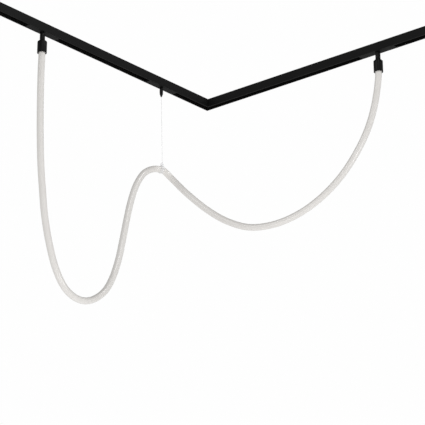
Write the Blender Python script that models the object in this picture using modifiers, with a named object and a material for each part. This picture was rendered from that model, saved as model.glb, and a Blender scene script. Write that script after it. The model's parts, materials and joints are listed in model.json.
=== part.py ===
"""Track lighting fixture: two low-voltage magnetic tracks meeting in a corner, two powered adapters
that hold the ends of a hanging silicone light tube, and a plain adapter with a wire that lifts it.

Frame: metres, +Z up. The origin lies on the ceiling face, where the tracks' centre lines cross.
The left track runs along -Y and the right track along +X. Each track's pieces are modelled in an
arm frame, whose +X runs away from the corner, under an empty that turns it into place.
"""

import math

import bmesh
import bpy
from mathutils import Matrix, Vector

GAP = 0.0003  # clearance between pieces that touch on the real object

# Tracks
TRACK_WIDTH = 0.023
TRACK_HEIGHT = 0.026
TRACK_LENGTH = 1.0
TRACK_WALL = 0.0026
TRACK_ROOF = 0.0024
SLOT_WIDTH = TRACK_WIDTH - 2 * TRACK_WALL
CEILING_HOLE_PLACES = (0.12, 0.88)
CEILING_HOLE_RADIUS = 0.0021
END_CAP_THICKNESS = 0.002
MITRE_OVERLAP = 0.0004  # how far the right track passes the diagonal, so that it holds the origin

# Conductor carrier: a comb of ribs under the roof, with copper strips between the outer ribs
CARRIER_START = 0.066
CARRIER_WIDTH = SLOT_WIDTH - 2 * GAP
CARRIER_BASE = 0.0016
CARRIER_RIBS = 0.0034
CONDUCTOR_OFFSET = 0.006
CONDUCTOR_SIZE = (0.002, 0.0016)
CONDUCTOR_GROOVE = 0.0026
KEEPER_SIZE = (0.0066, 0.0012)
KEEPER_GROOVE = 0.0072

# Adapters, and where they sit along their tracks
LEFT_PLACE = 0.707
CENTRE_PLACE = 0.212
RIGHT_PLACE = 0.633
ADAPTER_LENGTH = 0.12
ADAPTER_WIDTH = SLOT_WIDTH - 2 * GAP
HOUSING_TOP = -0.0108
HOUSING_WALL = 0.0010
HOUSING_FLOOR = 0.0016
COVER_THICKNESS = 0.0014
MAGNET_SIZE = (0.026, 0.006, 0.0026)
MAGNET_PLACE = 0.040
PIN_PLACE = 0.018
PIN_RADIUS = 0.0009
PIN_FLANGE_RADIUS = 0.0014
BOARD_SIZE = (0.092, 0.0135, 0.0016)
BOARD_Z = -0.0168

# Stem and cap that hold each end of the tube
SPIGOT_RADIUS = 0.004
STEM_RADIUS = 0.0073
STEM_LENGTH = 0.0245
LEAD_RADIUS = 0.0013
CAP_RADIUS = 0.0134
CAP_BORE_RADIUS = 0.0101
CAP_CHAMFER = 0.003
CAP_LENGTH = 0.0365
CAP_ROOF = 0.003
CAP_SCREW_DROP = 0.020

# Cable gripper and collar that hold the tube up
GRIPPER_RADIUS = 0.0052
GRIPPER_LENGTH = 0.0182
GRIPPER_BORE_RADIUS = 0.0034
WIRE_RADIUS = 0.0005
WIRE_BORE_RADIUS = 0.0009
FERRULE_RADIUS = 0.0014
FERRULE_LENGTH = 0.005
NOZZLE_LENGTH = 0.010
SPRING_TURNS = 4
COLLAR_INNER_RADIUS = 0.0102
COLLAR_WALL = 0.0016
COLLAR_LENGTH = 0.0096
COLLAR_LUG = (0.009, 0.005, 0.009)
COLLAR_SLIT = 0.001
COLLAR_SCREW_RADIUS = 0.0011

# Silicone tube with the light strip inside it
TUBE_RADIUS = 0.0094
TUBE_WALL = 0.0016
STRIP_SIZE = (0.010, 0.0012)
ROUTE_STEPS = 2
ROUTE = [
    (0.000, -0.707, -0.059),
    (0.000, -0.707, -0.090),
    (0.000, -0.708, -0.147),
    (0.000, -0.706, -0.272),
    (0.000, -0.699, -0.398),
    (0.000, -0.689, -0.482),
    (0.000, -0.677, -0.558),
    (0.000, -0.656, -0.633),
    (0.000, -0.631, -0.692),
    (0.000, -0.599, -0.734),
    (0.000, -0.566, -0.753),
    (0.000, -0.526, -0.758),
    (0.000, -0.486, -0.746),
    (0.000, -0.440, -0.712),
    (0.000, -0.411, -0.669),
    (0.000, -0.387, -0.609),
    (0.000, -0.371, -0.548),
    (0.000, -0.356, -0.484),
    (0.000, -0.341, -0.428),
    (0.000, -0.323, -0.378),
    (0.000, -0.305, -0.345),
    (0.000, -0.281, -0.316),
    (-0.002, -0.239, -0.292),
    (0.004, -0.223, -0.290),
    (0.009, -0.210, -0.292),
    (0.022, -0.192, -0.312),
    (0.073, -0.181, -0.369),
    (0.138, -0.161, -0.432),
    (0.196, -0.142, -0.474),
    (0.260, -0.121, -0.500),
    (0.331, -0.098, -0.500),
    (0.399, -0.076, -0.479),
    (0.459, -0.057, -0.443),
    (0.514, -0.039, -0.392),
    (0.560, -0.024, -0.329),
    (0.596, -0.012, -0.259),
    (0.617, -0.005, -0.193),
    (0.629, -0.001, -0.129),
    (0.633, 0.000, -0.090),
    (0.633, 0.000, -0.059),
]
COLLAR_POINT = 47  # the point of the smoothed route that the collar is centred on

# Heights worked out from the sizes above, all measured down from the ceiling face
TRACK_BASE = -TRACK_HEIGHT
CARRIER_TOP = -TRACK_ROOF - GAP
GROOVE_TOP = CARRIER_TOP - CARRIER_BASE
CARRIER_BOTTOM = GROOVE_TOP - CARRIER_RIBS
COVER_TOP = HOUSING_TOP + GAP + COVER_THICKNESS
CONTACT_TOP = GROOVE_TOP - GAP - CONDUCTOR_SIZE[1] - GAP
STEM_TOP = TRACK_BASE - GAP
CAP_TOP = STEM_TOP - STEM_LENGTH - GAP
TUBE_TOP = ROUTE[0][2]
GRIPPER_BOTTOM = STEM_TOP - GRIPPER_LENGTH

SEGMENTS = 32
ARM_X = Matrix.Rotation(math.pi / 2, 4, "Z") @ Matrix.Rotation(math.pi / 2, 4, "X")


def clear_scene():
    for obj in list(bpy.data.objects):
        bpy.data.objects.remove(obj, do_unlink=True)


def new_collection(name):
    collection = bpy.data.collections.new(name)
    bpy.context.scene.collection.children.link(collection)
    return collection


def new_material(name, colour, roughness, metallic=0.0):
    material = bpy.data.materials.new(name)
    material.use_nodes = True
    shader = material.node_tree.nodes["Principled BSDF"]
    shader.inputs["Base Color"].default_value = (*colour, 1.0)
    shader.inputs["Roughness"].default_value = roughness
    shader.inputs["Metallic"].default_value = metallic
    return material


clear_scene()
PARTS = new_collection("track_lighting_fixture")
CUTTERS = new_collection("cutters")
CUTTERS.hide_render = True

BLACK_METAL = new_material("black_anodised_aluminium", (0.012, 0.012, 0.013), 0.45, 0.6)
BLACK_PLASTIC = new_material("black_plastic", (0.010, 0.010, 0.010), 0.5)
COPPER = new_material("copper", (0.72, 0.33, 0.18), 0.3, 1.0)
STEEL = new_material("steel", (0.55, 0.55, 0.56), 0.3, 1.0)
MAGNET = new_material("nickel_plated_magnet", (0.66, 0.65, 0.62), 0.2, 1.0)
BRASS = new_material("brass", (0.75, 0.55, 0.22), 0.3, 1.0)
BOARD = new_material("circuit_board", (0.02, 0.16, 0.06), 0.5)
SILICONE = new_material("milky_silicone", (0.72, 0.71, 0.69), 0.4)
CLEAR_PLASTIC = new_material("clear_plastic", (0.85, 0.85, 0.86), 0.1)
STRIP = new_material("light_strip", (0.85, 0.80, 0.55), 0.5)


def keep(obj, name, material, parent=None):
    """Names the object, moves it to the parts collection and sets its material and parent."""
    obj.name = name
    for collection in list(obj.users_collection):
        collection.objects.unlink(obj)
    PARTS.objects.link(obj)
    obj.data.materials.clear()
    obj.data.materials.append(material)
    obj.parent = parent
    return obj


def empty(name, place, parent=None, turn=0.0):
    obj = bpy.data.objects.new(name, None)
    obj.location = place
    obj.rotation_euler = (0, 0, turn)
    obj.parent = parent
    PARTS.objects.link(obj)
    return obj


def shade_round(obj):
    obj.data.shade_smooth()
    obj.data.set_sharp_from_angle(angle=math.radians(40))


def modifier(obj, kind, **settings):
    added = obj.modifiers.new(kind.title(), kind)
    for key, value in settings.items():
        setattr(added, key, value)
    return added


def as_cutter(obj, name, parent=None):
    obj.name = name
    for collection in list(obj.users_collection):
        collection.objects.unlink(obj)
    CUTTERS.objects.link(obj)
    obj.parent = parent
    obj.hide_render = True
    obj.display_type = "WIRE"
    return obj


def cut(obj, cutter):
    modifier(obj, "BOOLEAN", operation="DIFFERENCE", object=cutter, solver="EXACT")


def join(obj, other):
    modifier(obj, "BOOLEAN", operation="UNION", object=other, solver="EXACT")


def block(size, centre, bevel=0.0):
    """A box from the cube primitive, with its edges rounded if a bevel is given."""
    bpy.ops.mesh.primitive_cube_add(size=1)
    obj = bpy.context.object
    obj.data.transform(Matrix.Diagonal((*size, 1)))
    obj.location = centre
    if bevel:
        modifier(obj, "BEVEL", width=bevel, segments=2, limit_method="ANGLE")
    return obj


def rod(radius, length, centre, axis="Z", segments=16):
    bpy.ops.mesh.primitive_cylinder_add(radius=radius, depth=length, vertices=segments)
    obj = bpy.context.object
    if axis == "X":
        obj.data.transform(Matrix.Rotation(math.pi / 2, 4, "Y"))
    if axis == "Y":
        obj.data.transform(Matrix.Rotation(math.pi / 2, 4, "X"))
    obj.location = centre
    shade_round(obj)
    return obj


def turned(profile, segments=SEGMENTS, is_ring=True):
    """A turned shape from (radius, height) points that run down its outer side. A ring's profile
    closes on itself round a bore; a solid one starts and ends on the axis."""
    shape = bmesh.new()
    points = [shape.verts.new((radius, 0, height)) for radius, height in profile]
    for start, end in zip(points, points[1:]):
        shape.edges.new((start, end))
    if is_ring:
        shape.edges.new((points[-1], points[0]))
    mesh = bpy.data.meshes.new("turned")
    shape.to_mesh(mesh)
    shape.free()
    obj = bpy.data.objects.new("turned", mesh)
    PARTS.objects.link(obj)
    modifier(
        obj,
        "SCREW",
        steps=segments,
        render_steps=segments,
        use_merge_vertices=True,
        merge_threshold=0.00001,
    )
    return obj


def mesh_from(curve_object):
    """The curve's evaluated shape as a mesh object, with its caps welded to its sides."""
    graph = bpy.context.evaluated_depsgraph_get()
    mesh = bpy.data.meshes.new_from_object(curve_object.evaluated_get(graph))
    shape = bmesh.new()
    shape.from_mesh(mesh)
    bmesh.ops.remove_doubles(shape, verts=shape.verts, dist=0.00001)
    bmesh.ops.recalc_face_normals(shape, faces=shape.faces)
    shape.to_mesh(mesh)
    shape.free()
    obj = bpy.data.objects.new("from_curve", mesh)
    PARTS.objects.link(obj)
    obj.matrix_world = curve_object.matrix_world
    bpy.data.objects.remove(curve_object, do_unlink=True)
    return obj


def extruded(outline, depth):
    """A flat outline in XY, thickened along Z by depth about its own plane."""
    data = bpy.data.curves.new("outline", "CURVE")
    data.dimensions = "2D"
    data.fill_mode = "BOTH"
    data.extrude = depth / 2
    spline = data.splines.new("POLY")
    spline.points.add(len(outline) - 1)
    for point, (x, y) in zip(spline.points, outline):
        point.co = (x, y, 0, 1)
    spline.use_cyclic_u = True
    obj = bpy.data.objects.new("outline", data)
    PARTS.objects.link(obj)
    bpy.context.view_layer.update()
    return mesh_from(obj)


def section_bar(section, start, end):
    """A bar along the arm's X, from start to end, whose (Y, Z) section is the outline given."""
    obj = extruded(section, end - start)
    obj.data.transform(ARM_X)
    obj.data.transform(Matrix.Translation(((start + end) / 2, 0, 0)))
    return obj


def poly_curve(points, radius, resolution=2, caps=True):
    data = bpy.data.curves.new("path", "CURVE")
    data.dimensions = "3D"
    data.bevel_depth = radius
    data.bevel_resolution = resolution
    data.use_fill_caps = caps
    spline = data.splines.new("POLY")
    spline.points.add(len(points) - 1)
    for point, place in zip(spline.points, points):
        point.co = (*place, 1)
    obj = bpy.data.objects.new("path", data)
    PARTS.objects.link(obj)
    bpy.context.view_layer.update()
    return obj


def smooth_route(points, steps):
    """Points on a centripetal Catmull-Rom curve through the given points, steps to each span."""
    knots = [Vector(point) for point in points]
    knots = [2 * knots[0] - knots[1], *knots, 2 * knots[-1] - knots[-2]]
    found = []
    for index in range(1, len(knots) - 2):
        a, b, c, d = knots[index - 1 : index + 3]
        t1 = math.sqrt((b - a).length)
        t2 = t1 + math.sqrt((c - b).length)
        t3 = t2 + math.sqrt((d - c).length)
        for step in range(steps):
            t = t1 + (t2 - t1) * step / steps
            ab = a.lerp(b, t / t1)
            bc = b.lerp(c, (t - t1) / (t2 - t1))
            cd = c.lerp(d, (t - t2) / (t3 - t2))
            abc = ab.lerp(bc, t / t2)
            bcd = bc.lerp(cd, (t - t1) / (t3 - t1))
            found.append(abc.lerp(bcd, (t - t1) / (t2 - t1)))
    found.append(knots[-2])
    return found


# Tracks -----------------------------------------------------------------------------------------


def make_profile(name, arm, inner, mitre_at):
    """A channel open downwards, mitred at the corner. inner is the side that faces into the L, and
    mitre_at is where the mitre crosses the arm's centre line."""
    half, slot, roof = TRACK_WIDTH / 2, SLOT_WIDTH / 2, -TRACK_ROOF
    section = [
        (-half, 0),
        (half, 0),
        (half, TRACK_BASE),
        (slot, TRACK_BASE),
        (slot, roof),
        (-slot, roof),
        (-slot, TRACK_BASE),
        (-half, TRACK_BASE),
    ]
    obj = section_bar(section, -half, TRACK_LENGTH)
    mitre_side = 4 * TRACK_WIDTH
    reach = mitre_side / 2 * math.sqrt(0.5)
    mitre = block((mitre_side,) * 3, (mitre_at - reach, inner * reach, 0))
    mitre.rotation_euler = (0, 0, math.pi / 4)
    cut(obj, as_cutter(mitre, name + "_mitre", arm))
    for place in CEILING_HOLE_PLACES:
        hole = rod(CEILING_HOLE_RADIUS, 4 * TRACK_ROOF, (place, 0, 0))
        cut(obj, as_cutter(hole, name + "_ceiling_hole", arm))
    return keep(obj, name, BLACK_METAL, arm)


def make_carrier(name, arm):
    half = CARRIER_WIDTH / 2
    section = [(-half, CARRIER_TOP), (half, CARRIER_TOP), (half, CARRIER_BOTTOM)]
    grooves = (
        (CONDUCTOR_OFFSET, CONDUCTOR_GROOVE),
        (0.0, KEEPER_GROOVE),
        (-CONDUCTOR_OFFSET, CONDUCTOR_GROOVE),
    )
    for centre, width in grooves:
        section.append((centre + width / 2, CARRIER_BOTTOM))
        section.append((centre + width / 2, GROOVE_TOP))
        section.append((centre - width / 2, GROOVE_TOP))
        section.append((centre - width / 2, CARRIER_BOTTOM))
    section.append((-half, CARRIER_BOTTOM))
    obj = section_bar(section, CARRIER_START, TRACK_LENGTH - GAP)
    return keep(obj, name, BLACK_PLASTIC, arm)


def make_strip(name, arm, size, offset, material):
    """A metal strip lying in one of the carrier's grooves."""
    width, height = size
    length = TRACK_LENGTH - 2 * GAP - CARRIER_START
    centre = (CARRIER_START + length / 2, offset, GROOVE_TOP - GAP - height / 2)
    return keep(block((length, width, height), centre), name, material, arm)


def make_end_cap(name, arm, has_inlet):
    """A plate with a hollow tongue that pushes into the channel. One has the supply's inlet."""
    x = TRACK_LENGTH + GAP + END_CAP_THICKNESS / 2
    obj = block((END_CAP_THICKNESS, TRACK_WIDTH, TRACK_HEIGHT), (x, 0, TRACK_BASE / 2), 0.0004)
    tongue_height = 0.006
    tongue_z = CARRIER_BOTTOM - GAP - tongue_height / 2
    tongue = block((0.008, CARRIER_WIDTH, tongue_height), (x - 0.004, 0, tongue_z))
    join(obj, as_cutter(tongue, name + "_tongue", arm))
    if has_inlet:
        inlet = rod(0.0033, 0.02, (x, 0, -0.0195), axis="X")
        cut(obj, as_cutter(inlet, name + "_inlet", arm))
    return keep(obj, name, BLACK_PLASTIC, arm)


def make_live_feed(arm):
    """The block that takes the supply in at the left track's outer end, with its two terminals."""
    centre = Vector((0.968, 0, -0.0165))
    obj = block((0.040, ADAPTER_WIDTH, 0.014), centre, 0.0006)
    for side in (-1, 1):
        terminal = rod(0.0022, 0.012, centre + Vector((0.018, side * 0.004, -0.001)), axis="X")
        cut(obj, as_cutter(terminal, "live_feed_terminal", arm))
        driver_hole = rod(0.0016, 0.008, centre + Vector((0.012, side * 0.004, -0.006)))
        cut(obj, as_cutter(driver_hole, "live_feed_driver_hole", arm))
    return keep(obj, "live_feed_block", BLACK_PLASTIC, arm)


def corner_outline(inner_edge, outer_edge, reach):
    """An L whose arms run along +X and -Y, between two lines at the given offsets from the axes."""
    return [
        (outer_edge, -outer_edge),
        (reach, -outer_edge),
        (reach, -inner_edge),
        (inner_edge, -inner_edge),
        (inner_edge, -reach),
        (outer_edge, -reach),
    ]


def corner_piece(name, half_width, offset, reach, height, top, material):
    """An L of square section, centred on an L-shaped line that runs the offset inside the axes."""
    outline = corner_outline(offset + half_width, offset - half_width, reach)
    obj = extruded(outline, height)
    obj.location = (0, 0, top - height / 2)
    return keep(obj, name, material)


def make_corner():
    reach = CARRIER_START - GAP
    bracket_top, bracket_height = CARRIER_TOP, 0.002
    bracket = corner_piece("corner_bracket", 0.005, 0, reach - 0.008, bracket_height, bracket_top, STEEL)
    connector_top = bracket_top - bracket_height - GAP
    half_width = CARRIER_WIDTH / 2 - MITRE_OVERLAP
    connector = corner_piece(
        "corner_connector", half_width, 0, reach, 0.006, connector_top, BLACK_PLASTIC
    )
    groove_z = connector_top - 0.006
    for name, offset in (("inner", CONDUCTOR_OFFSET), ("outer", -CONDUCTOR_OFFSET)):
        outline = corner_outline(offset + 0.0013, offset - 0.0013, 2 * reach)
        groove = extruded(outline, 0.004)
        groove.location = (0, 0, groove_z)
        cut(connector, as_cutter(groove, name + "_jumper_groove"))
        jumper_top = groove_z + 0.0017
        corner_piece(name + "_corner_jumper", 0.001, offset, reach - 0.001, 0.0014, jumper_top, COPPER)
    for name, place in (("left", (0, -0.045)), ("right", (0.045, 0))):
        hole = rod(0.0019, 0.01, (*place, bracket_top))
        cut(bracket, as_cutter(hole, name + "_bracket_hole"))
        screw = rod(0.0015, bracket_height, (*place, bracket_top - bracket_height / 2), segments=12)
        socket = rod(0.0008, bracket_height, (*place, bracket_top - bracket_height), segments=6)
        cut(screw, as_cutter(socket, name + "_bracket_screw_socket"))
        keep(screw, name + "_bracket_screw", STEEL)


def make_track(side, arm, inner, mitre_at):
    make_profile(side + "_track_profile", arm, inner, mitre_at)
    make_carrier(side + "_conductor_carrier", arm)
    for name, offset in (("inner", inner * CONDUCTOR_OFFSET), ("outer", -inner * CONDUCTOR_OFFSET)):
        make_strip(f"{side}_{name}_conductor", arm, CONDUCTOR_SIZE, offset, COPPER)
    make_strip(side + "_keeper_strip", arm, KEEPER_SIZE, 0.0, STEEL)
    make_end_cap(side + "_end_cap", arm, has_inlet=side == "left")


# Adapters ---------------------------------------------------------------------------------------


def make_housing(name, slide, hole_radius):
    """A tray that fills the slot flush with its mouth, with a hole in its floor."""
    height = HOUSING_TOP - TRACK_BASE
    obj = block((ADAPTER_LENGTH, ADAPTER_WIDTH, height), (0, 0, TRACK_BASE + height / 2), 0.0005)
    inside = (ADAPTER_LENGTH - 2 * HOUSING_WALL, ADAPTER_WIDTH - 2 * HOUSING_WALL, height)
    hollow = block(inside, (0, 0, TRACK_BASE + HOUSING_FLOOR + height / 2))
    cut(obj, as_cutter(hollow, name + "_inside", slide))
    hole = rod(hole_radius, 4 * HOUSING_FLOOR, (0, 0, TRACK_BASE), segments=24)
    cut(obj, as_cutter(hole, name + "_floor_hole", slide))
    return keep(obj, name, BLACK_PLASTIC, slide)


def make_cover(name, slide, has_contacts):
    centre = (0, 0, COVER_TOP - COVER_THICKNESS / 2)
    obj = block((ADAPTER_LENGTH, ADAPTER_WIDTH, COVER_THICKNESS), centre)
    if has_contacts:
        for side in (-1, 1):
            hole = rod(PIN_RADIUS + GAP, 0.01, (PIN_PLACE, side * CONDUCTOR_OFFSET, COVER_TOP))
            cut(obj, as_cutter(hole, name + "_pin_hole", slide))
    return keep(obj, name, BLACK_PLASTIC, slide)


def make_magnets(side, slide):
    for name, place in (("inner", -MAGNET_PLACE), ("outer", MAGNET_PLACE)):
        centre = (place, 0, COVER_TOP + GAP + MAGNET_SIZE[2] / 2)
        keep(block(MAGNET_SIZE, centre), f"{side}_{name}_magnet", MAGNET, slide)


def make_contact_pins(side, slide, inner):
    """Spring-loaded pins that press on the conductors, with a flange below the cover."""
    flange_top = COVER_TOP - COVER_THICKNESS - 0.0004
    profile = [
        (0, CONTACT_TOP),
        (PIN_RADIUS * 0.6, CONTACT_TOP),
        (PIN_RADIUS, CONTACT_TOP - 0.0005),
        (PIN_RADIUS, flange_top),
        (PIN_FLANGE_RADIUS, flange_top),
        (PIN_FLANGE_RADIUS, flange_top - 0.0008),
        (PIN_RADIUS, flange_top - 0.0008),
        (PIN_RADIUS, flange_top - 0.0026),
        (0, flange_top - 0.0026),
    ]
    for name, offset in (("inner", inner * CONDUCTOR_OFFSET), ("outer", -inner * CONDUCTOR_OFFSET)):
        pin = turned(profile, segments=12, is_ring=False)
        pin.location = (PIN_PLACE, offset, 0)
        keep(pin, f"{side}_{name}_contact_pin", BRASS, slide)


def make_driver_board(side, slide):
    """The driver's board with its tallest components, joined into one piece."""
    board = block(BOARD_SIZE, (0, 0, BOARD_Z))
    components = (
        ((0.012, 0.010, 0.004), (-0.032, 0, 1)),
        ((0.008, 0.006, 0.003), (-0.015, 0.002, 1)),
        ((0.010, 0.008, 0.005), (0.030, 0, -1)),
        ((0.006, 0.009, 0.003), (-0.030, 0, -1)),
    )
    for size, (x, y, face) in components:
        z = BOARD_Z + face * (BOARD_SIZE[2] / 2 + size[2] / 2 - 0.0002)
        join(board, as_cutter(block(size, (x, y, z)), side + "_component", slide))
    return keep(board, side + "_driver_board", BOARD, slide)


def make_stem(side, swivel):
    """A round post with a threaded spigot up through the housing and another down into the cap."""
    bore = LEAD_RADIUS + 0.0005
    shoulder = STEM_TOP - STEM_LENGTH
    profile = [
        (SPIGOT_RADIUS, STEM_TOP + 0.0062),
        (SPIGOT_RADIUS, STEM_TOP),
        (STEM_RADIUS - 0.0004, STEM_TOP),
        (STEM_RADIUS, STEM_TOP - 0.0004),
        (STEM_RADIUS, shoulder),
        (SPIGOT_RADIUS, shoulder),
        (SPIGOT_RADIUS, shoulder - 0.0042),
        (bore, shoulder - 0.0042),
        (bore, STEM_TOP + 0.0062),
    ]
    return keep(turned(profile), side + "_stem", BLACK_METAL, swivel)


def make_stem_nut(side, swivel):
    """A thin hexagon nut on the stem's spigot, inside the housing."""
    height = 0.0028
    floor = TRACK_BASE + HOUSING_FLOOR
    bpy.ops.mesh.primitive_cylinder_add(radius=0.0068, depth=height, vertices=6)
    nut = bpy.context.object
    nut.location = (0, 0, floor + GAP + height / 2)
    hole = rod(SPIGOT_RADIUS + GAP, 4 * height, (0, 0, floor), segments=24)
    cut(nut, as_cutter(hole, side + "_stem_nut_hole", swivel))
    return keep(nut, side + "_stem_nut", STEEL, swivel)


def make_cap(side, swivel, inner):
    """A deep cup with a chamfered shoulder, which the tube's end pushes into."""
    mouth = CAP_TOP - CAP_LENGTH
    profile = [
        (CAP_RADIUS - CAP_CHAMFER, CAP_TOP),
        (CAP_RADIUS, CAP_TOP - CAP_CHAMFER),
        (CAP_RADIUS, mouth + 0.0004),
        (CAP_RADIUS - 0.0004, mouth),
        (CAP_BORE_RADIUS + 0.0004, mouth),
        (CAP_BORE_RADIUS, mouth + 0.0004),
        (CAP_BORE_RADIUS, CAP_TOP - CAP_ROOF),
        (SPIGOT_RADIUS + GAP, CAP_TOP - CAP_ROOF),
        (SPIGOT_RADIUS + GAP, CAP_TOP),
    ]
    cap = keep(turned(profile, segments=40), side + "_cap", BLACK_METAL, swivel)
    wall_middle = (CAP_RADIUS + CAP_BORE_RADIUS) / 2
    place = (0, -inner * wall_middle, CAP_TOP - CAP_SCREW_DROP)
    hole = rod(0.0018, 0.008, place, axis="Y")
    cut(cap, as_cutter(hole, side + "_cap_screw_hole", swivel))
    screw_length = CAP_RADIUS - CAP_BORE_RADIUS - 0.0004
    screw = rod(0.0015, screw_length, place, axis="Y", segments=12)
    socket = rod(0.0008, screw_length, (0, place[1] * 1.1, place[2]), axis="Y", segments=6)
    cut(screw, as_cutter(socket, side + "_cap_screw_socket", swivel))
    keep(screw, side + "_cap_screw", STEEL, swivel)
    return cap


def make_end_plug(side, swivel):
    """A plug that closes the tube's end and lets the lead through."""
    flange_top = TUBE_TOP + GAP + 0.003
    spigot_radius = TUBE_RADIUS - TUBE_WALL - 0.0006
    profile = [
        (TUBE_RADIUS, flange_top),
        (TUBE_RADIUS, TUBE_TOP + GAP),
        (spigot_radius, TUBE_TOP + GAP),
        (spigot_radius, TUBE_TOP - 0.006),
        (LEAD_RADIUS + 0.0005, TUBE_TOP - 0.006),
        (LEAD_RADIUS + 0.0005, flange_top),
    ]
    return keep(turned(profile, segments=24), side + "_tube_end_plug", BLACK_PLASTIC, swivel)


def make_lead(side, slide):
    """The pair of cores in one sheath, from the board down through the stem into the tube."""
    top = BOARD_Z - BOARD_SIZE[2] / 2 - GAP
    bottom = TUBE_TOP - 0.007
    lead = rod(LEAD_RADIUS, top - bottom, (0, 0, (top + bottom) / 2), segments=12)
    return keep(lead, side + "_lead", BLACK_PLASTIC, slide)


def make_powered_adapter(side, arm, place, inner):
    slide = empty(side + "_carrier", (place, 0, 0), arm)
    swivel = empty(side + "_swivel", (0, 0, 0), slide)
    make_housing(side + "_adapter_housing", slide, SPIGOT_RADIUS + GAP)
    make_cover(side + "_adapter_cover", slide, has_contacts=True)
    make_magnets(side, slide)
    make_contact_pins(side, slide, inner)
    make_driver_board(side, slide)
    make_lead(side, slide)
    make_stem(side, swivel)
    make_stem_nut(side, swivel)
    make_cap(side, swivel, inner)
    make_end_plug(side, swivel)


# Gripper, wire and collar -----------------------------------------------------------------------


def make_gripper_body(slide):
    stud_radius = 0.003
    bore_top = STEM_TOP - 0.003
    profile = [
        (stud_radius, STEM_TOP + 0.006),
        (stud_radius, STEM_TOP),
        (GRIPPER_RADIUS - 0.0003, STEM_TOP),
        (GRIPPER_RADIUS, STEM_TOP - 0.0003),
        (GRIPPER_RADIUS, GRIPPER_BOTTOM),
        (GRIPPER_BORE_RADIUS, GRIPPER_BOTTOM),
        (GRIPPER_BORE_RADIUS, bore_top),
        (WIRE_BORE_RADIUS, bore_top),
        (WIRE_BORE_RADIUS, STEM_TOP + 0.006),
    ]
    return keep(turned(profile, segments=24), "gripper_body", BLACK_METAL, slide)


def make_gripper_sleeve(slide):
    """The conical release sleeve: pushed up into the body, it frees the wire."""
    cone_top = GRIPPER_BOTTOM - 0.0018
    profile = [
        (0.0022, cone_top + 0.0078),
        (0.0022, cone_top),
        (GRIPPER_RADIUS - 0.0002, cone_top),
        (0.0016, cone_top - NOZZLE_LENGTH),
        (WIRE_BORE_RADIUS, cone_top - NOZZLE_LENGTH),
        (WIRE_BORE_RADIUS, cone_top + 0.0078),
    ]
    return keep(turned(profile, segments=24), "gripper_release_sleeve", BLACK_METAL, slide)


def make_gripper_spring(slide):
    """A coil spring between the top of the body's bore and the sleeve's end."""
    top = STEM_TOP - 0.0037
    bottom = GRIPPER_BOTTOM + 0.0067
    turn_points = 10
    count = SPRING_TURNS * turn_points
    points = []
    for index in range(count + 1):
        angle = 2 * math.pi * index / turn_points
        height = top + (bottom - top) * index / count
        points.append((0.0022 * math.cos(angle), 0.0022 * math.sin(angle), height))
    spring = mesh_from(poly_curve(points, 0.0003))
    return keep(spring, "gripper_spring", STEEL, slide)


def collar_frame(route):
    """The collar's axes in the world: its bore runs along the tube and its lug points up."""
    before, centre, after = route[COLLAR_POINT - 1 : COLLAR_POINT + 2]
    along = (after - before).normalized()
    across = along.cross(Vector((0, 0, 1))).normalized()
    up = across.cross(along)
    turn = Matrix((along, across, up)).transposed().to_4x4()
    return Matrix.Translation(centre) @ turn


def make_collar(route):
    """A clear split ring round the tube, closed by a screw through the two ears on its top."""
    frame = collar_frame(route)
    outer = COLLAR_INNER_RADIUS + COLLAR_WALL
    lug_z = outer + COLLAR_LUG[2] / 2 - 0.001
    lug_top = lug_z + COLLAR_LUG[2] / 2
    screw_z = lug_z + 0.0005
    ring = rod(outer, COLLAR_LENGTH, (0, 0, 0), axis="X", segments=SEGMENTS)
    lug = block(COLLAR_LUG, (0, 0, lug_z), 0.0008)
    bore = rod(COLLAR_INNER_RADIUS, 4 * COLLAR_LENGTH, (0, 0, 0), axis="X", segments=SEGMENTS)
    slit = block((4 * COLLAR_LENGTH, COLLAR_SLIT, 2 * lug_top), (0, 0, lug_top))
    hole_radius = COLLAR_SCREW_RADIUS + GAP
    screw_hole = rod(hole_radius, 4 * COLLAR_LUG[1], (0, 0, screw_z), axis="Y", segments=12)
    join(ring, as_cutter(lug, "collar_lug"))
    for name, tool in (("bore", bore), ("slit", slit), ("screw_hole", screw_hole)):
        cut(ring, as_cutter(tool, "collar_" + name))
    for tool in (lug, bore, slit, screw_hole):
        tool.matrix_world = frame @ tool.matrix_basis
    keep(ring, "tube_collar", CLEAR_PLASTIC)
    ring.matrix_world = frame

    half = COLLAR_LUG[1] / 2 + GAP
    profile = [
        (0, half + 0.0014),
        (2 * COLLAR_SCREW_RADIUS, half + 0.0014),
        (2 * COLLAR_SCREW_RADIUS, half),
        (COLLAR_SCREW_RADIUS, half),
        (COLLAR_SCREW_RADIUS, -half - 0.0006),
        (0, -half - 0.0006),
    ]
    screw = turned(profile, segments=16, is_ring=False)
    keep(screw, "collar_screw", CLEAR_PLASTIC)
    lay_across = Matrix.Translation((0, 0, screw_z)) @ Matrix.Rotation(math.pi / 2, 4, "X")
    screw.matrix_world = frame @ lay_across
    return frame @ Vector((0, 0, lug_top))


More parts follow.
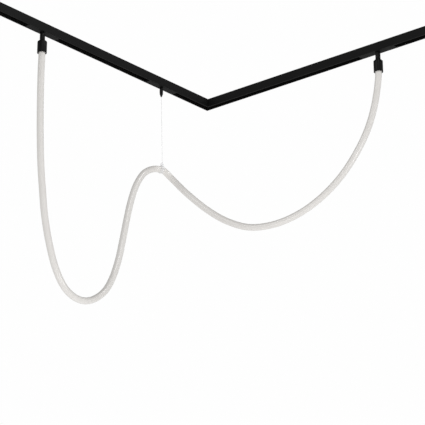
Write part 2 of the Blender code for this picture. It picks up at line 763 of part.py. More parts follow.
def make_wire(lug_top, slide_place):
    """The suspension wire, down through the gripper and on to the ferrule above the lug."""
    tip = GRIPPER_BOTTOM - 0.0018 - NOZZLE_LENGTH
    ferrule_bottom = lug_top + Vector((0, 0, 0.0006))
    guide = Vector(slide_place) + Vector((0, 0, tip))
    slope = (ferrule_bottom - guide).normalized()
    points = [
        Vector(slide_place) + Vector((0, 0, STEM_TOP + 0.010)),
        guide,
        guide.lerp(ferrule_bottom, 0.5),
        ferrule_bottom,
    ]
    wire = mesh_from(poly_curve(points, WIRE_RADIUS))
    keep(wire, "suspension_wire", STEEL)

    profile = [
        (FERRULE_RADIUS, FERRULE_LENGTH),
        (FERRULE_RADIUS, 0),
        (WIRE_BORE_RADIUS, 0),
        (WIRE_BORE_RADIUS, FERRULE_LENGTH),
    ]
    ferrule = keep(turned(profile, segments=16), "wire_ferrule", CLEAR_PLASTIC)
    turn = Vector((0, 0, -1)).rotation_difference(slope).to_matrix().to_4x4()
    ferrule.matrix_world = Matrix.Translation(ferrule_bottom) @ turn


def make_plain_adapter(arm, route):
    slide = empty("centre_carrier", (CENTRE_PLACE, 0, 0), arm)
    make_housing("centre_adapter_housing", slide, 0.0033)
    make_cover("centre_adapter_cover", slide, has_contacts=False)
    make_magnets("centre", slide)
    make_gripper_body(slide)
    make_gripper_sleeve(slide)
    make_gripper_spring(slide)
    lug_top = make_collar(route)
    make_wire(lug_top, (0, -CENTRE_PLACE, 0))


# Tube -------------------------------------------------------------------------------------------


def make_tube(route):
    """The silicone tube: an open bevelled curve thickened inwards, so that its ends stay open."""
    tube = mesh_from(poly_curve(route, TUBE_RADIUS, resolution=3, caps=False))
    modifier(tube, "SOLIDIFY", thickness=TUBE_WALL, offset=-1, use_even_offset=True)
    keep(tube, "silicone_tube", SILICONE)
    shade_round(tube)


def make_light_strip(route):
    """The flexible strip of lights, which lies along the middle of the tube."""
    section = bpy.data.curves.new("strip_section", "CURVE")
    outline = section.splines.new("POLY")
    outline.points.add(3)
    half_width, half_height = STRIP_SIZE[0] / 2, STRIP_SIZE[1] / 2
    corners = ((-1, -1), (1, -1), (1, 1), (-1, 1))
    for point, (x, y) in zip(outline.points, corners):
        point.co = (x * half_height, y * half_width, 0, 1)
    outline.use_cyclic_u = True
    guide = as_cutter(bpy.data.objects.new("strip_section", section), "strip_section")
    path = poly_curve(route[1:-1], 0)
    path.data.bevel_mode = "OBJECT"
    path.data.bevel_object = guide
    keep(mesh_from(path), "light_strip", STRIP)


def main():
    left_arm = empty("left_arm", (0, 0, 0), turn=-math.pi / 2)
    right_arm = empty("right_arm", (0, 0, 0))
    make_track("left", left_arm, inner=1, mitre_at=MITRE_OVERLAP + GAP)
    make_track("right", right_arm, inner=-1, mitre_at=-MITRE_OVERLAP)
    make_corner()
    make_live_feed(left_arm)
    make_powered_adapter("left", left_arm, LEFT_PLACE, inner=1)
    make_powered_adapter("right", right_arm, RIGHT_PLACE, inner=-1)
    route = smooth_route(ROUTE, ROUTE_STEPS)
    make_plain_adapter(left_arm, route)
    make_tube(route)
    make_light_strip(route)


main()
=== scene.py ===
"""Looks for the track lighting fixture: two black tracks in an L, two powered adapters that hold the
ends of a milky silicone tube, and a plain adapter whose wire lifts the tube at a clear collar.

Everything is in metres in the row frame: +Z up, the origin on the ceiling face where the tracks'
centre lines cross, the left track along -Y and the right track along +X.
"""

import json
import math

import bmesh
import bpy
from mathutils import Matrix, Vector


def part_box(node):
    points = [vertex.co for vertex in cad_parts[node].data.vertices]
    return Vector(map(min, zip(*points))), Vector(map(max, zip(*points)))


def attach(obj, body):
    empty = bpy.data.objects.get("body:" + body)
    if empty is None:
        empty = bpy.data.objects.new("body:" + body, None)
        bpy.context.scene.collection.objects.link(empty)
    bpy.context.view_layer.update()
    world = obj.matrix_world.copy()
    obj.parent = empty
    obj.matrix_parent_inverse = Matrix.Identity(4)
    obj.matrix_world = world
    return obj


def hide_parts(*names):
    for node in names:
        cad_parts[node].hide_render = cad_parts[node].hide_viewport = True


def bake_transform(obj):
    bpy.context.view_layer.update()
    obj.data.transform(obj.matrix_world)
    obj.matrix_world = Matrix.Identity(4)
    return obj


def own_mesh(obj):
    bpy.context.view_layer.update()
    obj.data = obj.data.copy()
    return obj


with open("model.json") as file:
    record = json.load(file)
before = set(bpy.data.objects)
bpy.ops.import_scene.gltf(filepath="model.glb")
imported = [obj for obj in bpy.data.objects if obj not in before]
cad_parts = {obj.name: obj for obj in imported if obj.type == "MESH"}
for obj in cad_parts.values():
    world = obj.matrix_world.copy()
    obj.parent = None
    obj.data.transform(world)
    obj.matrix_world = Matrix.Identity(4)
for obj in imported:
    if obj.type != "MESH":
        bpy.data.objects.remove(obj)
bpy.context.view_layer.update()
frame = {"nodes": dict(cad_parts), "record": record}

# Camera, from a least-squares solution ------------------------------------------------------------

CAMERA_PLACE = Vector((3.2493, -3.8488, -2.1668))
CAMERA_FORWARD = Vector((-0.60523, 0.72104, 0.33734))
CAMERA_UP = Vector((0.21926, -0.25637, 0.94138))
CAMERA_LENS = 151.6  # mm, on a sensor 36 mm wide

# Tube, repeated from the CAD source ---------------------------------------------------------------
# ROUTE was fitted by a least-squares program and then adjusted. It was not chosen by hand.

TUBE_RADIUS = 0.0094
TUBE_WALL = 0.0016
COLLAR_POINT = 47
CAD_STEPS = 2
ROUTE = [
    (0.000, -0.707, -0.059),
    (0.000, -0.707, -0.090),
    (0.000, -0.708, -0.147),
    (0.000, -0.706, -0.272),
    (0.000, -0.699, -0.398),
    (0.000, -0.689, -0.482),
    (0.000, -0.677, -0.558),
    (0.000, -0.656, -0.633),
    (0.000, -0.631, -0.692),
    (0.000, -0.599, -0.734),
    (0.000, -0.566, -0.753),
    (0.000, -0.526, -0.758),
    (0.000, -0.486, -0.746),
    (0.000, -0.440, -0.712),
    (0.000, -0.411, -0.669),
    (0.000, -0.387, -0.609),
    (0.000, -0.371, -0.548),
    (0.000, -0.356, -0.484),
    (0.000, -0.341, -0.428),
    (0.000, -0.323, -0.378),
    (0.000, -0.305, -0.345),
    (0.000, -0.281, -0.316),
    (-0.002, -0.239, -0.292),
    (0.004, -0.223, -0.290),
    (0.009, -0.210, -0.292),
    (0.022, -0.192, -0.312),
    (0.073, -0.181, -0.369),
    (0.138, -0.161, -0.432),
    (0.196, -0.142, -0.474),
    (0.260, -0.121, -0.500),
    (0.331, -0.098, -0.500),
    (0.399, -0.076, -0.479),
    (0.459, -0.057, -0.443),
    (0.514, -0.039, -0.392),
    (0.560, -0.024, -0.329),
    (0.596, -0.012, -0.259),
    (0.617, -0.005, -0.193),
    (0.629, -0.001, -0.129),
    (0.633, 0.000, -0.090),
    (0.633, 0.000, -0.059),
]

# The tube in stretches, each running between two bodies: name, first and last route point, bodies
STRETCHES = [
    ("left_drop", 0, 11, "left_carrier", "root"),
    ("left_rise", 11, 17, "root", "centre_carrier"),
    ("hump", 17, 24, "centre_carrier", "collar"),
    ("right_fall", 24, 27, "collar", "centre_carrier"),
    ("right_sag", 27, 30, "centre_carrier", "root"),
    ("right_rise", 30, 39, "root", "right_carrier"),
]
MESH_STEPS = 14
TUBE_SIDES = 48
STRIP_WIDTH = 0.010
STRIP_THICKNESS = 0.0008
LED_SIZE = (0.0035, 0.0028, 0.0008)
LED_PITCH = 0.00833

# Collar, wire and gripper
COLLAR_WALL = 0.0016
COLLAR_INNER_RADIUS = 0.0102
COLLAR_LENGTH = 0.0096
COLLAR_LUG = (0.009, 0.005, 0.009)
COLLAR_SLIT = 0.001
WIRE_RADIUS = 0.0005
WIRE_LAY = 0.009  # length in which a strand goes once round
WIRE_STRANDS = 6
WIRE_LOBE = 0.22  # how much of the radius the grooves between strands take away
WIRE_SPACING = 0.0006  # between rings of the wire's mesh
WIRE_LUG_GAP = 0.0006  # between the wire's end and the top of the collar's ears
SPRING_WIRE_RADIUS = 0.0003
SPRING_TURNS = 4

FLOOR_DROP = 2.4
FLOOR_HALF = 40
LIGHT_TARGET = Vector((0.25, -0.3, -0.35))
CURVE_SEGMENTS = 96


# Small helpers ----------------------------------------------------------------------------------


def add_object(name, data):
    obj = bpy.data.objects.new(name, data)
    bpy.context.scene.collection.objects.link(obj)
    return obj


def new_piece(name, vertices, faces, material, sharp=35):
    """A mesh object with outward normals, smooth except at edges sharper than the given angle."""
    mesh = bpy.data.meshes.new(name)
    mesh.from_pydata([tuple(v) for v in vertices], [], faces)
    shape = bmesh.new()
    shape.from_mesh(mesh)
    bmesh.ops.recalc_face_normals(shape, faces=shape.faces)
    shape.to_mesh(mesh)
    shape.free()
    mesh.shade_smooth()
    mesh.set_sharp_from_angle(angle=math.radians(sharp))
    mesh.materials.append(material)
    return add_object(name, mesh)


def smooth_route(points, steps):
    """Points on a centripetal Catmull-Rom curve through the given points, steps to each span."""
    knots = [Vector(point) for point in points]
    knots = [2 * knots[0] - knots[1], *knots, 2 * knots[-1] - knots[-2]]
    found = []
    for index in range(1, len(knots) - 2):
        a, b, c, d = knots[index - 1 : index + 3]
        t1 = math.sqrt((b - a).length)
        t2 = t1 + math.sqrt((c - b).length)
        t3 = t2 + math.sqrt((d - c).length)
        for step in range(steps):
            t = t1 + (t2 - t1) * step / steps
            ab = a.lerp(b, t / t1)
            bc = b.lerp(c, (t - t1) / (t2 - t1))
            cd = c.lerp(d, (t - t2) / (t3 - t2))
            abc = ab.lerp(bc, t / t2)
            bcd = bc.lerp(cd, (t - t1) / (t3 - t1))
            found.append(abc.lerp(bcd, (t - t1) / (t2 - t1)))
    found.append(knots[-2])
    return found


def carried_frames(centres, first_up):
    """(centre, side, up) along a line, with no twist about it. first_up is up at the start."""
    frames = []
    up = Vector(first_up)
    for index, centre in enumerate(centres):
        before = centres[max(index - 1, 0)]
        after = centres[min(index + 1, len(centres) - 1)]
        along = (after - before).normalized()
        up = (up - up.dot(along) * along).normalized()
        frames.append((centre, along.cross(up), up))
    return frames


def rounded(points, radius, steps=3):
    """A closed outline with each corner turned into a small curve."""
    found = []
    for index, corner in enumerate(points):
        corner = Vector(corner)
        to_before = Vector(points[index - 1]) - corner
        to_after = Vector(points[(index + 1) % len(points)]) - corner
        cut = min(radius, 0.4 * to_before.length, 0.4 * to_after.length)
        start = corner + cut * to_before.normalized()
        end = corner + cut * to_after.normalized()
        for step in range(steps + 1):
            t = step / steps
            found.append(start.lerp(corner, t).lerp(corner.lerp(end, t), t))
    return found


def grid_faces(rows, columns, start=0, closes_rows=False):
    """Quads between rows of points that close on themselves, and from the last row to the first if
    closes_rows is set."""
    faces = []
    for row in range(rows if closes_rows else rows - 1):
        following = (row + 1) % rows
        for column in range(columns):
            beside = (column + 1) % columns
            faces.append(
                (
                    start + row * columns + column,
                    start + row * columns + beside,
                    start + following * columns + beside,
                    start + following * columns + column,
                )
            )
    return faces


def capped_faces(rings, sides):
    """Quads along a row of rings, with a face that closes each end."""
    faces = grid_faces(rings, sides)
    faces.append(tuple(range(sides)))
    faces.append(tuple(range((rings - 1) * sides, rings * sides)))
    return faces


def turned(name, outline, centre, material, segments=CURVE_SEGMENTS, sharp=30):
    """A ring whose closed (radius, height) outline turns about an upright axis through the centre."""
    x, y = centre
    vertices = []
    for segment in range(segments):
        angle = 2 * math.pi * segment / segments
        for radius, height in outline:
            vertices.append((x + radius * math.cos(angle), y + radius * math.sin(angle), height))
    faces = grid_faces(segments, len(outline), closes_rows=True)
    return new_piece(name, vertices, faces, material, sharp)


def prism(name, outline, start, end, place, material, bevel):
    """A flat (Y, Z) outline extruded along X from start to end, with bevelled edges, put in place."""
    count = len(outline)
    vertices = [place @ Vector((x, y, z)) for x in (start, end) for y, z in outline]
    faces = grid_faces(2, count)
    faces.append(tuple(range(count)))
    faces.append(tuple(range(count, 2 * count)))
    obj = new_piece(name, vertices, faces, material)
    soften(obj, bevel)
    return obj


def soften(obj, width, segments=3):
    """Rounds the object's sharp edges with modifiers, which leave its own mesh as it is."""
    weld = obj.modifiers.new("weld", "WELD")
    weld.merge_threshold = 0.00001
    bevel = obj.modifiers.new("bevel", "BEVEL")
    bevel.width = width
    bevel.segments = segments
    bevel.limit_method = "ANGLE"
    bevel.angle_limit = math.radians(50)
    bevel.harden_normals = True
    return obj


def middle(node):
    """The (x, y) of the middle of a CAD node's box."""
    low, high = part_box(node)
    return ((low[0] + high[0]) / 2, (low[1] + high[1]) / 2)


# Materials --------------------------------------------------------------------------------------


class Look:
    """A Principled material being put together. Sockets are set on the shader itself."""

    def __init__(self, name, **sockets):
        self.material = bpy.data.materials.new(name)
        self.material.use_nodes = True
        self.tree = self.material.node_tree
        self.shader = self.tree.nodes["Principled BSDF"]
        for socket, value in sockets.items():
            self.shader.inputs[socket.replace("_", " ")].default_value = value
        self.coordinates = self.node("ShaderNodeTexCoord").outputs["Object"]

    def node(self, kind, inputs=(), **settings):
        made = self.tree.nodes.new(kind)
        for key, value in settings.items():
            setattr(made, key, value)
        for key, value in dict(inputs).items():
            if isinstance(value, bpy.types.NodeSocket):
                self.tree.links.new(value, made.inputs[key])
            else:
                made.inputs[key].default_value = value
        return made

    def noise(self, scale, stretch=(1, 1, 1), detail=3.0, coordinates=None):
        """A noise from 0 to 1; scale is features per metre, before the stretch along each axis."""
        source = coordinates or self.coordinates
        mapped = self.node("ShaderNodeMapping", {"Vector": source, "Scale": stretch})
        inputs = {"Vector": mapped.outputs["Vector"], "Scale": scale, "Detail": detail}
        return self.node("ShaderNodeTexNoise", inputs).outputs["Fac"]

    def spread(self, value, low, high, source_low=0.3, source_high=0.7):
        inputs = {"Value": value, "From Min": source_low, "From Max": source_high}
        inputs.update({"To Min": low, "To Max": high})
        return self.node("ShaderNodeMapRange", inputs).outputs["Result"]

    def colours(self, value, stops):
        """A colour ramp from (position, (r, g, b)) stops."""
        ramp = self.node("ShaderNodeValToRGB", {"Fac": value})
        elements = ramp.color_ramp.elements
        while len(elements) < len(stops):
            elements.new(0.5)
        for element, (position, colour) in zip(elements, stops):
            element.position = position
            element.color = (*colour, 1)
        return ramp.outputs["Color"]

    def connect(self, value, socket):
        self.tree.links.new(value, self.shader.inputs[socket])

    def bump(self, heights):
        """Chains bumps from (height, strength, distance in metres) triples."""
        normal = None
        for height, strength, distance in heights:
            inputs = {"Height": height, "Strength": strength, "Distance": distance}
            if normal is not None:
                inputs["Normal"] = normal
            normal = self.node("ShaderNodeBump", inputs).outputs["Normal"]
        self.connect(normal, "Normal")


def mottled(name, dark, light, rough, scale, grain_scale, grain, stretch=(1, 1, 1), **sockets):
    """A surface that varies between two colours in patches, with a fine grain in its bump."""
    look = Look(name, **sockets)
    patches = look.noise(scale, stretch, detail=4)
    fine = look.noise(grain_scale, stretch, detail=2)
    look.connect(look.colours(patches, ((0.3, dark), (0.7, light))), "Base Color")
    look.connect(look.spread(fine, *rough), "Roughness")
    look.bump([(fine, 0.6, grain)])
    return look.material


def extruded_aluminium(name, stretch):
    """Satin black coated aluminium with faint die lines along its length."""
    look = Look(name, Specular_IOR_Level=0.12)
    patches = look.noise(14, detail=3)
    lines = look.noise(900, stretch, detail=2)
    powder = look.noise(4200, detail=1)
    look.connect(look.colours(patches, ((0.3, (0.0036,) * 3), (0.7, (0.0052,) * 3))), "Base Color")
    look.connect(look.spread(powder, 0.42, 0.56), "Roughness")
    look.bump([(lines, 0.25, 0.00003), (powder, 0.35, 0.00002)])
    return look.material


def turned_aluminium():
    """Black anodised aluminium with fine rings from the lathe."""
    look = Look("black_turned_aluminium", Specular_IOR_Level=0.14)
    rings = look.noise(3800, (0.02, 0.02, 1), detail=1)
    patches = look.noise(60, detail=3)
    look.connect(look.colours(patches, ((0.3, (0.004,) * 3), (0.7, (0.006,) * 3))), "Base Color")
    look.connect(look.spread(rings, 0.34, 0.46), "Roughness")
    look.bump([(rings, 0.3, 0.00002)])
    return look.material


def milky_silicone():
    """Translucent white silicone, unlit: warm grey-white with a soft gloss and a dusty haze."""
    look = Look("milky_silicone", Specular_IOR_Level=0.45)
    clouds = look.noise(9, detail=3)
    haze = look.noise(700, detail=3)
    ripple = look.noise(160, detail=2)
    pale = look.colours(clouds, ((0.3, (0.745, 0.722, 0.695)), (0.7, (0.775, 0.755, 0.73))))
    look.connect(pale, "Base Color")
    look.connect(look.spread(haze, 0.19, 0.25), "Roughness")
    look.bump([(ripple, 0.1, 0.00004)])
    return look.material


def clear_plastic():
    """Clear polycarbonate with faint moulding marks."""
    look = Look("clear_plastic", Specular_IOR_Level=0.5, Alpha=0.36)
    marks = look.noise(300, detail=2)
    tint = look.colours(marks, ((0.3, (0.92, 0.92, 0.93)), (0.7, (0.96, 0.96, 0.97))))
    look.connect(tint, "Base Color")
    look.connect(look.spread(marks, 0.08, 0.2), "Roughness")
    look.bump([(marks, 0.2, 0.00005)])
    return look.material


def bare_metal(name, dark, light, scale=400, stretch=(1, 1, 1), rough=(0.22, 0.38)):
    return mottled(name, dark, light, rough, scale, 3000, 0.00001, stretch, Metallic=1.0)


def circuit_board():
    """Green solder mask with paler traces under it."""
    look = Look("circuit_board", Specular_IOR_Level=0.4)
    cells = look.node("ShaderNodeTexVoronoi", {"Vector": look.coordinates, "Scale": 260.0})
    cells.feature = "DISTANCE_TO_EDGE"
    traces = look.spread(cells.outputs["Distance"], 1.0, 0.0, 0.04, 0.09)
    look.connect(
        look.colours(traces, ((0.0, (0.012, 0.11, 0.04)), (1.0, (0.03, 0.2, 0.08)))), "Base Color"
    )
    look.connect(look.spread(look.noise(900), 0.35, 0.55), "Roughness")
    look.bump([(traces, 0.3, 0.00004)])
    return look.material


BLACK_X = extruded_aluminium("black_aluminium_along_x", (0.01, 1, 1))
BLACK_Y = extruded_aluminium("black_aluminium_along_y", (1, 0.01, 1))
BLACK_TURNED = turned_aluminium()
BLACK_PLASTIC = mottled(
    "black_plastic",
    (0.0045,) * 3,
    (0.0070,) * 3,
    (0.48, 0.62),
    40,
    5200,
    0.00003,
    Specular_IOR_Level=0.08,
)
SILICONE = milky_silicone()
CLEAR = clear_plastic()
STEEL = bare_metal("steel", (0.50, 0.50, 0.51), (0.60, 0.60, 0.61))
WIRE_STEEL = mottled(
    "wire_steel",
    (0.80, 0.80, 0.81),
    (0.88, 0.88, 0.89),
    (0.35, 0.5),
    400,
    3000,
    0.00001,
    Metallic=0.3,
)
COPPER = bare_metal("copper", (0.60, 0.26, 0.14), (0.75, 0.36, 0.20))
BRASS = bare_metal("brass", (0.68, 0.48, 0.18), (0.80, 0.60, 0.26))
MAGNET = bare_metal("nickel_plated_magnet", (0.60, 0.59, 0.56), (0.70, 0.69, 0.66), scale=90)
BOARD = circuit_board()
STRIP = mottled(
    "light_strip", (0.78, 0.76, 0.70), (0.86, 0.85, 0.80), (0.4, 0.5), 200, 2500, 0.00002
)
PHOSPHOR = mottled(
    "phosphor", (0.80, 0.66, 0.22), (0.90, 0.76, 0.30), (0.3, 0.45), 900, 4000, 0.00002
)

SLOT_MATERIALS = {
    "black_aluminium": BLACK_TURNED,
    "black_plastic": BLACK_PLASTIC,
    "copper": COPPER,
    "steel": STEEL,
    "magnet": MAGNET,
    "brass": BRASS,
    "circuit_board": BOARD,
    "silicone": SILICONE,
    "clear_plastic": CLEAR,
    "light_strip": STRIP,
}


# Camera, light and floor ------------------------------------------------------------------------


def make_camera():
    data = bpy.data.cameras.new("camera")
    data.lens = CAMERA_LENS
    data.sensor_width = 36
    data.sensor_fit = "HORIZONTAL"
    data.clip_start = 0.1
    data.clip_end = 300
    camera = add_object("camera", data)
    backward = -CAMERA_FORWARD
    right = CAMERA_UP.cross(backward)
    turn = Matrix((right, CAMERA_UP, backward)).transposed().to_4x4()
    camera.matrix_world = Matrix.Translation(CAMERA_PLACE) @ turn
    bpy.context.scene.camera = camera


def make_light(name, azimuth, elevation, distance, size, power, glossy=True):
    """A square soft light that looks at the middle of the object. Without gloss it leaves no rims."""
    data = bpy.data.lights.new(name, "AREA")
    data.shape = "SQUARE"
    data.size = size
    data.energy = power
    light = add_object(name, data)
    a, e = math.radians(azimuth), math.radians(elevation)
    away = Vector((math.sin(a) * math.cos(e), -math.cos(a) * math.cos(e), math.sin(e)))
    light.location = LIGHT_TARGET + distance * away
    light.rotation_euler = away.to_track_quat("Z", "Y").to_euler()
    light.visible_camera = False
    light.visible_glossy = glossy


def make_world():
    """White to the eye; as a light it is even below the horizon and dims towards the zenith."""
    world = bpy.data.worlds.new("studio")
    bpy.context.scene.world = world
    world.use_nodes = True
    nodes, links = world.node_tree.nodes, world.node_tree.links
    direction = nodes.new("ShaderNodeTexCoord")
    parts = nodes.new("ShaderNodeSeparateXYZ")
    links.new(direction.outputs["Generated"], parts.inputs["Vector"])
    height = nodes.new("ShaderNodeMapRange")
    height.inputs["From Min"].default_value = 0.0
    height.inputs["From Max"].default_value = 1.0
    height.inputs["To Min"].default_value = 0.62
    height.inputs["To Max"].default_value = 0.12
    links.new(parts.outputs["Z"], height.inputs["Value"])
    seen = nodes.new("ShaderNodeLightPath")
    strength = nodes.new("ShaderNodeMix")
    links.new(seen.outputs["Is Camera Ray"], strength.inputs["Factor"])
    links.new(height.outputs["Result"], strength.inputs["A"])
    strength.inputs["B"].default_value = 1.0
    background = nodes["Background"]
    background.inputs["Color"].default_value = (0.992, 0.992, 0.992, 1)
    links.new(strength.outputs["Result"], background.inputs["Strength"])


def make_floor():
    """A pale floor, seen through from below."""
    half = FLOOR_HALF
    corners = [(-half, -half, 0), (half, -half, 0), (half, half, 0), (-half, half, 0)]
    look = Look("pale_floor", Roughness=0.6, Specular_IOR_Level=0.2, Emission_Strength=0.46)
    grain = look.noise(3)
    look.connect(look.colours(grain, ((0.3, (0.84,) * 3), (0.7, (0.87,) * 3))), "Base Color")
    look.shader.inputs["Emission Color"].default_value = (1, 1, 1, 1)
    output = look.tree.nodes["Material Output"]
    side = look.node("ShaderNodeNewGeometry").outputs["Backfacing"]
    through = look.node("ShaderNodeBsdfTransparent").outputs["BSDF"]
    mixed = look.node("ShaderNodeMixShader", {0: side, 1: look.shader.outputs["BSDF"], 2: through})
    look.tree.links.new(mixed.outputs["Shader"], output.inputs["Surface"])
    floor = new_piece("floor", corners, [(0, 1, 2, 3)], look.material)
    floor.location.z = -FLOOR_DROP


def make_studio():
    make_world()
    make_floor()
    make_light("front_right_high", 53, 41, 4.0, 0.7, 19)
    make_light("front_high", -6, 28, 4.0, 0.6, 15)
    make_light("front_low", 21, -45, 2.3, 0.5, 5)
    make_light("right_low", 90, -20, 4.0, 0.7, 23)
    make_light("back_low", 215, -8, 4.0, 1.2, 14, glossy=False)
    make_light("back_left", 285, 20, 4.0, 1.2, 12, glossy=False)
    make_light("top_right", 108, 50, 3.0, 0.7, 17)
    bpy.context.scene.view_settings.view_transform = "Standard"
    bpy.context.scene.view_settings.look = "None"


# Cords ------------------------------------------------------------------------------------------


def make_tube_piece(name, frames):
    """One stretch of the tube: an outer and an inner wall, closed by a ring at each end."""
    vertices = []
    for radius in (TUBE_RADIUS, TUBE_RADIUS - TUBE_WALL):
        for centre, side, up in frames:
            for index in range(TUBE_SIDES):
                angle = 2 * math.pi * index / TUBE_SIDES
                vertices.append(centre + radius * (math.cos(angle) * up + math.sin(angle) * side))
    rings = len(frames)
    inner = rings * TUBE_SIDES
    faces = grid_faces(rings, TUBE_SIDES) + grid_faces(rings, TUBE_SIDES, start=inner)
    for outer_ring in (0, (rings - 1) * TUBE_SIDES):
        for index in range(TUBE_SIDES):
            beside = (index + 1) % TUBE_SIDES
            inner_ring = inner + outer_ring
            faces.append(
                (outer_ring + index, outer_ring + beside, inner_ring + beside, inner_ring + index)
            )
    return new_piece(name, vertices, faces, SILICONE)


def box_between(frames, low, high, vertices, faces):
    """Adds a bar with a rectangular (side, up) section along the frames to the lists."""
    start = len(vertices)
    corners = ((low[0], low[1]), (high[0], low[1]), (high[0], high[1]), (low[0], high[1]))
    for centre, side, up in frames:
        vertices.extend(centre + x * side + y * up for x, y in corners)
    faces.extend(grid_faces(len(frames), 4, start=start))
    last = start + 4 * (len(frames) - 1)
    faces.append((start, start + 1, start + 2, start + 3))
    faces.append((last, last + 1, last + 2, last + 3))


def make_strip_piece(name, frames):
    """The flexible strip inside one stretch, with its row of light chips."""
    vertices, faces = [], []
    half = STRIP_THICKNESS / 2
    box_between(frames, (-STRIP_WIDTH / 2, -half), (STRIP_WIDTH / 2, half), vertices, faces)
    base_faces = len(faces)
    travelled, due = 0.0, LED_PITCH / 2
    for before, after in zip(frames, frames[1:]):
        step = (after[0] - before[0]).length
        if travelled + step > due:
            along = (after[0] - before[0]).normalized()
            chip = before[0] + (due - travelled) * along
            reach = 0.5 * LED_SIZE[1] * along
            ends = [(place, before[1], before[2]) for place in (chip - reach, chip + reach)]
            low, high = (-LED_SIZE[0] / 2, half), (LED_SIZE[0] / 2, half + LED_SIZE[2])
            box_between(ends, low, high, vertices, faces)
            due += LED_PITCH
        travelled += step
    piece = new_piece(name, vertices, faces, STRIP)
    piece.data.materials.append(PHOSPHOR)
    for polygon in piece.data.polygons[base_faces:]:
        polygon.material_index = 1
    return piece


def make_tube():
    fine = smooth_route(ROUTE, MESH_STEPS)
    frames = carried_frames(fine, (0, 1, 0))
    for name, first, last, start_body, end_body in STRETCHES:
        part = frames[first * MESH_STEPS : last * MESH_STEPS + 1]
        tube = make_tube_piece("tube_" + name, part)
        inside = part[2:] if first == 0 else part
        inside = inside[:-2] if last == len(ROUTE) - 1 else inside
        strip = make_strip_piece("strip_" + name, inside)
        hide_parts("silicone_tube")
        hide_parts("light_strip")
        for piece in (tube, strip):
            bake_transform(piece)


def collar_axes():
    """The collar's place in the row frame: X along the tube, Z up through the ears."""
    route = smooth_route(ROUTE, CAD_STEPS)
    before, centre, after = route[COLLAR_POINT - 1 : COLLAR_POINT + 2]
    along = (after - before).normalized()
    across = along.cross(Vector((0, 0, 1))).normalized()
    turn = Matrix((along, across, across.cross(along))).transposed().to_4x4()
    return Matrix.Translation(centre) @ turn


COLLAR = collar_axes()
LUG_FOOT = COLLAR_INNER_RADIUS + COLLAR_WALL - 0.001
LUG_TOP = LUG_FOOT + COLLAR_LUG[2]


def make_wire():
    """A stranded wire from the gripper's tip to the ferrule: lobed rings that turn as they go down."""
    axis = middle("gripper_release_sleeve")
    top = Vector((*axis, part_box("suspension_wire")[1][2]))
    guide = Vector((*axis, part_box("gripper_release_sleeve")[0][2]))
    bottom = COLLAR @ Vector((0, 0, LUG_TOP)) + Vector((0, 0, WIRE_LUG_GAP))
    line = []
    for start, end in ((top, guide), (guide, bottom)):
        steps = math.ceil((end - start).length / WIRE_SPACING)
        line.extend(start.lerp(end, step / steps) for step in range(steps))
    line.append(bottom)
    frames = carried_frames(line, (0, 1, 0))
    sides = WIRE_STRANDS * 4
    vertices = []
    for index, (centre, side, up) in enumerate(frames):
        twist = 2 * math.pi * index * WIRE_SPACING / WIRE_LAY
        for corner in range(sides):
            angle = 2 * math.pi * corner / sides
            lobe = abs(math.cos(WIRE_STRANDS * angle / 2))
            radius = WIRE_RADIUS * (1 - WIRE_LOBE + WIRE_LOBE * lobe)
            turn = angle + twist
            vertices.append(centre + radius * (math.cos(turn) * up + math.sin(turn) * side))
    wire = new_piece("lifting_wire", vertices, capped_faces(len(frames), sides), WIRE_STEEL, 60)
    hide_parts("suspension_wire")
    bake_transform(wire)


# Collar -----------------------------------------------------------------------------------------


def collar_outline():
    """A split ring with two ears: the (across, up) outline, round from one ear to the other."""
    outer = COLLAR_INNER_RADIUS + COLLAR_WALL
    half_lug, half_slit = COLLAR_LUG[1] / 2, COLLAR_SLIT / 2
    corner = 0.0009
    points = []
    outer_start = math.asin(half_lug / outer)
    inner_start = math.asin(half_slit / COLLAR_INNER_RADIUS)
    steps = 72
    for step in range(steps + 1):
        angle = outer_start + (2 * math.pi - 2 * outer_start) * step / steps
        points.append((outer * math.sin(angle), outer * math.cos(angle)))
    for y, z in (
        (-half_lug, LUG_TOP - corner),
        (-half_lug + corner, LUG_TOP),
        (-half_slit, LUG_TOP),
    ):
        points.append((y, z))
    for step in range(steps + 1):
        angle = inner_start + (2 * math.pi - 2 * inner_start) * step / steps
        points.append((-COLLAR_INNER_RADIUS * math.sin(angle), COLLAR_INNER_RADIUS * math.cos(angle)))
    for y, z in (
        (half_slit, LUG_TOP),
        (half_lug - corner, LUG_TOP),
        (half_lug, LUG_TOP - corner),
    ):
        points.append((y, z))
    return points


def make_collar():
    half = COLLAR_LENGTH / 2
    collar = prism("clear_collar", collar_outline(), -half, half, COLLAR, CLEAR, 0.0003)
    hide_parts("tube_collar")
    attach(collar, "collar")


# Turned parts -----------------------------------------------------------------------------------


def swap(piece, node, body):
    """Puts a finer piece in a CAD node's place."""
    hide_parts(node)
    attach(piece, body)
    return piece


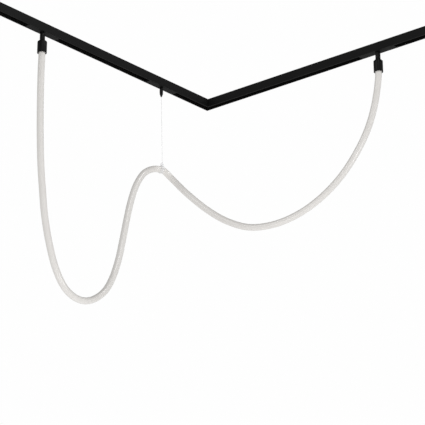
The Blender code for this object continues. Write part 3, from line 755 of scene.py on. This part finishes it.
def make_stem_and_cap(side):
    body = side + "_swivel"
    centre = middle(side + "_stem")
    low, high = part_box(side + "_stem")
    radius = (high[0] - low[0]) / 2
    shoulder = low[2] + 0.0042
    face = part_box(side + "_adapter_housing")[0][2] - 0.0003
    spigot, bore = 0.004, 0.0018
    outline = [
        (spigot, high[2]),
        (spigot, face),
        (radius, face),
        (radius, shoulder),
        (spigot, shoulder),
        (spigot, low[2]),
        (bore, low[2]),
        (bore, high[2]),
    ]
    stem = turned(side + "_turned_stem", rounded(outline, 0.0003), centre, BLACK_TURNED)
    swap(stem, side + "_stem", body)

    low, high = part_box(side + "_cap")
    radius = (high[0] - low[0]) / 2
    top, mouth = high[2], low[2]
    chamfer, wall, roof, hole = 0.003, 0.0027, 0.003, 0.0043
    outline = [
        (radius - chamfer, top),
        (radius, top - chamfer),
        (radius, mouth),
        (radius - wall, mouth),
        (radius - wall, top - roof),
        (hole, top - roof),
        (hole, top),
    ]
    cap = turned(side + "_turned_cap", rounded(outline, 0.0006, 4), centre, BLACK_TURNED)
    swap(cap, side + "_cap", body)


def make_gripper():
    centre = middle("gripper_body")
    low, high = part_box("gripper_body")
    radius = (high[0] - low[0]) / 2
    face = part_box("centre_adapter_housing")[0][2] - 0.0003
    bore, wire_hole = 0.0034, 0.0009
    outline = [
        (0.003, high[2]),
        (0.003, face),
        (radius, face),
        (radius, low[2]),
        (bore, low[2]),
        (bore, face - 0.003),
        (wire_hole, face - 0.003),
        (wire_hole, high[2]),
    ]
    body = turned("turned_gripper_body", rounded(outline, 0.0003), centre, BLACK_TURNED, 64)
    swap(body, "gripper_body", "centre_carrier")

    low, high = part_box("gripper_release_sleeve")
    radius = (high[0] - low[0]) / 2
    cone_top = low[2] + 0.010
    outline = [
        (0.0022, high[2]),
        (0.0022, cone_top),
        (radius, cone_top),
        (radius, cone_top - 0.0008),
        (0.0017, low[2]),
        (wire_hole, low[2]),
        (wire_hole, high[2]),
    ]
    sleeve = turned("turned_gripper_sleeve", rounded(outline, 0.0003), centre, BLACK_TURNED, 64)
    swap(sleeve, "gripper_release_sleeve", "release_sleeve")


def make_gripper_spring():
    """A coil spring above the sleeve."""
    x, y = middle("gripper_spring")
    low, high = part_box("gripper_spring")
    radius = (high[0] - low[0]) / 2 - SPRING_WIRE_RADIUS
    start, end = high[2] - SPRING_WIRE_RADIUS, low[2] + SPRING_WIRE_RADIUS
    turn_steps, sides = 32, 12
    count = SPRING_TURNS * turn_steps
    line = []
    for index in range(count + 1):
        angle = 2 * math.pi * index / turn_steps
        height = start + (end - start) * index / count
        line.append(Vector((x + radius * math.cos(angle), y + radius * math.sin(angle), height)))
    vertices = []
    for centre, side, up in carried_frames(line, (0, 0, 1)):
        for corner in range(sides):
            angle = 2 * math.pi * corner / sides
            spoke = math.cos(angle) * up + math.sin(angle) * side
            vertices.append(centre + SPRING_WIRE_RADIUS * spoke)
    spring = new_piece("coil_spring", vertices, capped_faces(len(line), sides), STEEL, 60)
    swap(spring, "gripper_spring", "centre_carrier")
    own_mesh(spring)


# CAD nodes that stay ----------------------------------------------------------------------------


def dress_cad_nodes():
    slots = {row["node"]: row["material_slot"] for row in frame["record"]["subparts"]}
    for name, obj in frame["nodes"].items():
        material = SLOT_MATERIALS[slots[name]]
        if name == "left_track_profile":
            material = BLACK_Y
        if name == "right_track_profile":
            material = BLACK_X
        obj.data.materials.clear()
        obj.data.materials.append(material)
    for side in ("left", "right"):
        soften(frame["nodes"][side + "_track_profile"], 0.0007)


# The scene --------------------------------------------------------------------------------------

make_camera()
make_tube()
make_wire()
make_collar()
for side in ("left", "right"):
    make_stem_and_cap(side)
make_gripper()
make_gripper_spring()
dress_cad_nodes()
make_studio()
